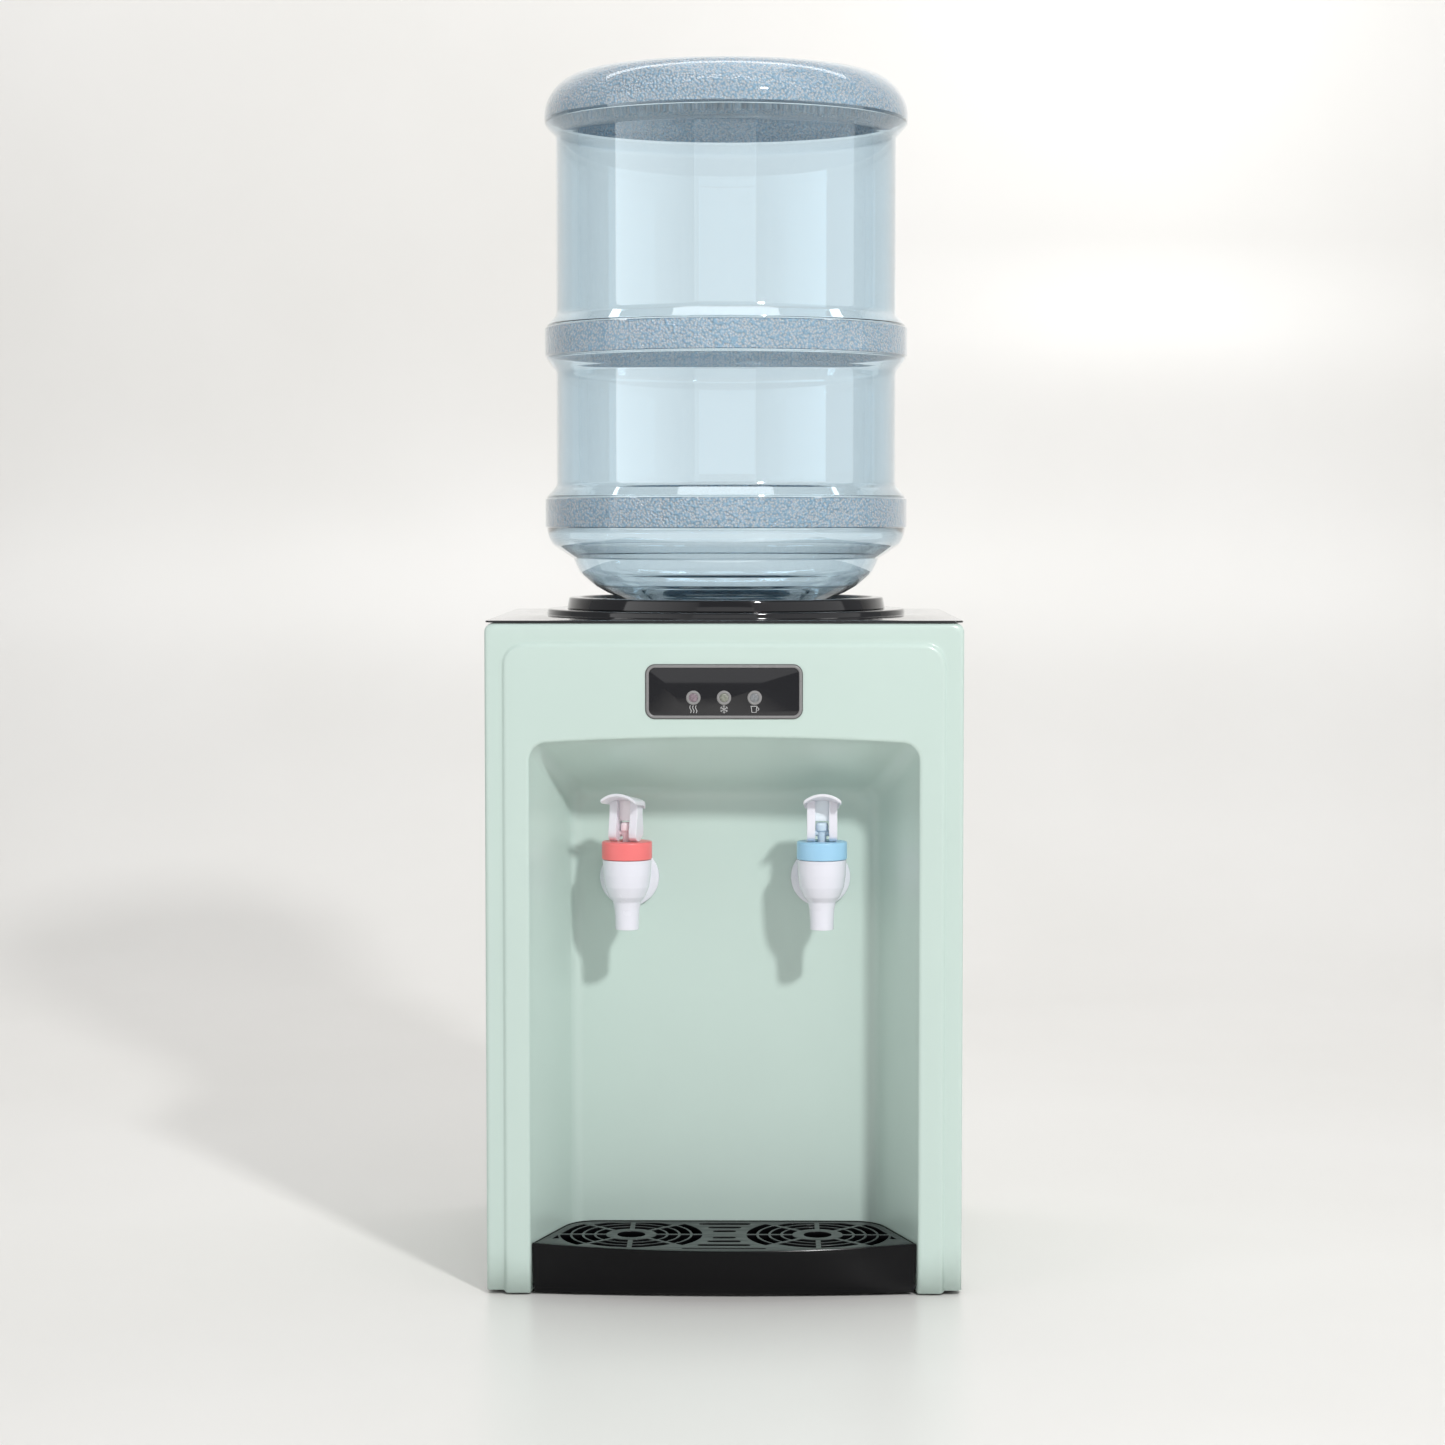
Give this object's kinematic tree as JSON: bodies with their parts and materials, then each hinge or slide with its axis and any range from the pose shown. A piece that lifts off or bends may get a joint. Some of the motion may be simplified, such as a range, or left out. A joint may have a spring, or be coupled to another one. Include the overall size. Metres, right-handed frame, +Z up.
{
  "type": "countertop water dispenser",
  "caption": "Countertop water dispenser: mint cabinet with lamp display, hot and cold push-lever taps in a recess, drip tray with grille, and an inverted clear blue water bottle on top.",
  "frame": {"origin": "centre of the overall footprint, on the surface that the feet stand on", "axes": "+Z up; -Y towards the user, where the taps are; +X to the user's right"},
  "size_m": [0.32, 0.33, 0.833],
  "materials": {
    "mint_panel": "satin mint green",
    "gloss_black": "gloss black",
    "satin_black": "satin black",
    "foot_rubber": "matt black",
    "bezel_grey": "warm grey",
    "lamp_lens": "frosted",
    "tap_white": "smooth white",
    "hot_red": "coral red",
    "cold_blue": "sky blue",
    "bottle_clear": "clear light blue",
    "silicone": "translucent silicone",
    "steel": "plain steel",
    "aluminium": "mill finish",
    "ceramic": "white ceramic",
    "foam": "closed-cell foam",
    "circuit_board": "green solder mask"
  },
  "bodies": {
    "cabinet": {"front_panel": "mint_panel", "side_panel_left": "mint_panel", "side_panel_right": "mint_panel", "rear_cover": "mint_panel", "base_plate": "satin_black", "top_cover": "gloss_black", "bottle_seat": "gloss_black", "feed_probe": "tap_white", "foot_front_left": "foot_rubber", "foot_front_right": "foot_rubber", "foot_back_left": "foot_rubber", "foot_back_right": "foot_rubber", "display_bezel": "bezel_grey", "display_panel": "gloss_black", "hot_lamp": "lamp_lens", "cold_lamp": "lamp_lens", "warm_lamp": "lamp_lens", "lamp_board": "circuit_board", "hot_tap_body": "tap_white", "hot_tap_ring": "hot_red", "hot_tap_spring": "steel", "hot_tap_gasket": "silicone", "hot_tap_nut": "tap_white", "cold_tap_body": "tap_white", "cold_tap_ring": "cold_blue", "cold_tap_spring": "steel", "cold_tap_gasket": "silicone", "cold_tap_nut": "tap_white", "cold_tank": "steel", "cold_tank_lid": "tap_white", "tank_insulation": "foam", "tank_shelf": "steel", "peltier_module": "ceramic", "heat_sink": "aluminium", "fan_frame": "satin_black", "hot_tank": "steel", "heater_band": "steel", "thermostat": "ceramic", "power_board": "circuit_board", "power_inlet": "satin_black", "drain_fitting": "tap_white", "feed_hose": "silicone", "hot_hose": "silicone", "cold_hose": "silicone", "drain_hose": "silicone"},
    "bottle": {"bottle": "bottle_clear", "bottle_neck": "bottle_clear", "bottle_cap": "tap_white"},
    "tray": {"drip_tray": "gloss_black"},
    "grille": {"drip_grille": "satin_black"},
    "fan": {"fan_rotor": "satin_black"},
    "hot_rocker": {"hot_switch": "hot_red"},
    "cold_rocker": {"cold_switch": "cold_blue"},
    "drain_plug": {"drain_cap": "satin_black"},
    "hot_stem": {"hot_valve_stem": "tap_white", "hot_valve_seal": "silicone"},
    "hot_lever": {"hot_tap_lever": "tap_white"},
    "cold_stem": {"cold_valve_stem": "tap_white", "cold_valve_seal": "silicone"},
    "cold_lever": {"cold_tap_lever": "tap_white"}
  },
  "joints": [
    {"name": "bottle_lift", "type": "slide", "parent": "cabinet", "child": "bottle", "axis": [0, 0, 1], "range_m": [0, 0.15]},
    {"name": "tray_slide", "type": "slide", "parent": "cabinet", "child": "tray", "axis": [0, -1, 0], "range_m": [0, 0.1]},
    {"name": "grille_lift", "type": "slide", "parent": "tray", "child": "grille", "axis": [0, 0, 1], "range_m": [0, 0.06]},
    {"name": "hot_stem_lift", "type": "slide", "parent": "cabinet", "child": "hot_stem", "axis": [0, 0, 1], "range_m": [0, 0.002], "stiffness_N_per_m": 400, "springref_m": -0.003, "deforming": ["hot_tap_spring"]},
    {"name": "hot_lever_press", "type": "hinge", "parent": "hot_stem", "child": "hot_lever", "pos_m": [-0.066, -0.111, 0.3096], "axis": [0.9397, -0.342, 0], "range_deg": [0, 30]},
    {"name": "cold_stem_lift", "type": "slide", "parent": "cabinet", "child": "cold_stem", "axis": [0, 0, 1], "range_m": [0, 0.002], "stiffness_N_per_m": 400, "springref_m": -0.003, "deforming": ["cold_tap_spring"]},
    {"name": "cold_lever_press", "type": "hinge", "parent": "cold_stem", "child": "cold_lever", "pos_m": [0.066, -0.111, 0.3096], "axis": [1, 0, 0], "range_deg": [0, 30]},
    {"name": "hot_switch_rock", "type": "hinge", "parent": "cabinet", "child": "hot_rocker", "pos_m": [0.098, 0.157, 0.11], "axis": [1, 0, 0], "range_deg": [-20, 0]},
    {"name": "cold_switch_rock", "type": "hinge", "parent": "cabinet", "child": "cold_rocker", "pos_m": [0.122, 0.157, 0.11], "axis": [1, 0, 0], "range_deg": [-20, 0]},
    {"name": "fan_spin", "type": "hinge", "parent": "cabinet", "child": "fan", "pos_m": [0, 0.145, 0.336], "axis": [0, 1, 0], "continuous": true},
    {"name": "drain_unscrew", "type": "slide", "parent": "cabinet", "child": "drain_plug", "axis": [0, 1, 0], "range_m": [0, 0.02]}
  ],
  "couplings": [
    {"joint": "hot_lever_press", "follows": "hot_stem_lift", "rad_per_m": 261.8},
    {"joint": "cold_lever_press", "follows": "cold_stem_lift", "rad_per_m": 261.8}
  ]
}
